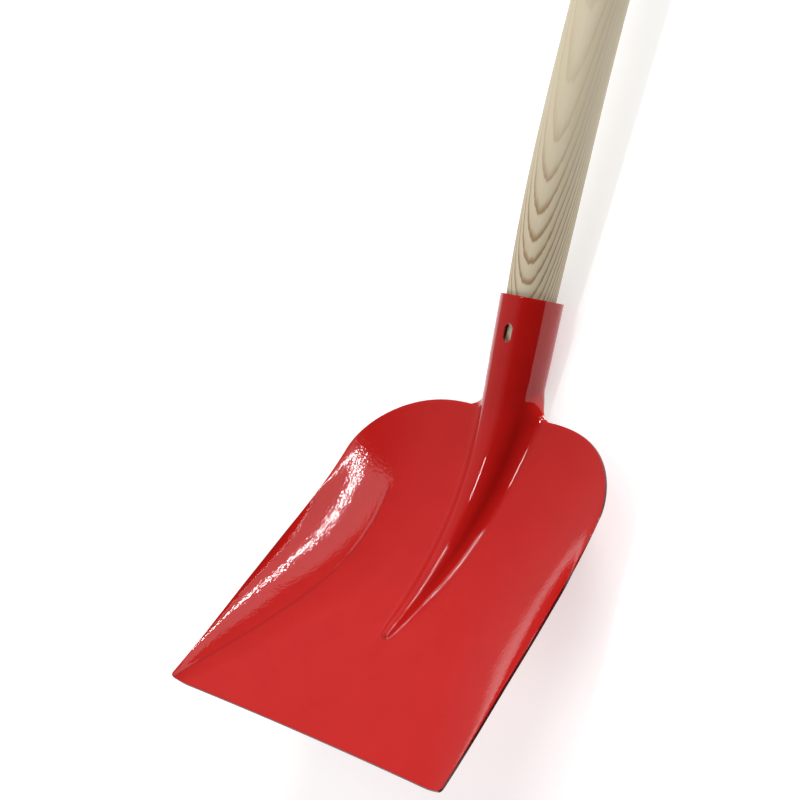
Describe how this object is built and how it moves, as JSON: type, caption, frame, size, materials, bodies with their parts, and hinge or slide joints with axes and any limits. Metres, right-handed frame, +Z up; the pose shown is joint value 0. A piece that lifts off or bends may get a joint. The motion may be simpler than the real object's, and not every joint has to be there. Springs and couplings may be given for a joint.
{
  "type": "square mouth shovel",
  "caption": "Long-handled shovel: dished sheet steel blade with a straight front edge, turned-up sides, a pressed rib and a rolled socket, on a bent round wooden handle.",
  "frame": {"origin": "centre of the box on the floor, with the shovel lying face up on its heel and on the butt of its handle", "axes": "+Z up, +Y along the shovel towards the butt of the handle, +X across the blade to the right hand of someone who holds the handle and looks at the blade's face"},
  "size_m": [0.2468, 1.5336, 0.1319],
  "materials": {
    "red_paint": "gloss enamel on sheet steel",
    "ash": "turned and sanded, bare",
    "nail_steel": "bright drawn wire"
  },
  "bodies": {
    "root": {"head": "red_paint", "handle": "ash", "fixing_nail": "nail_steel"}
  },
  "joints": []
}
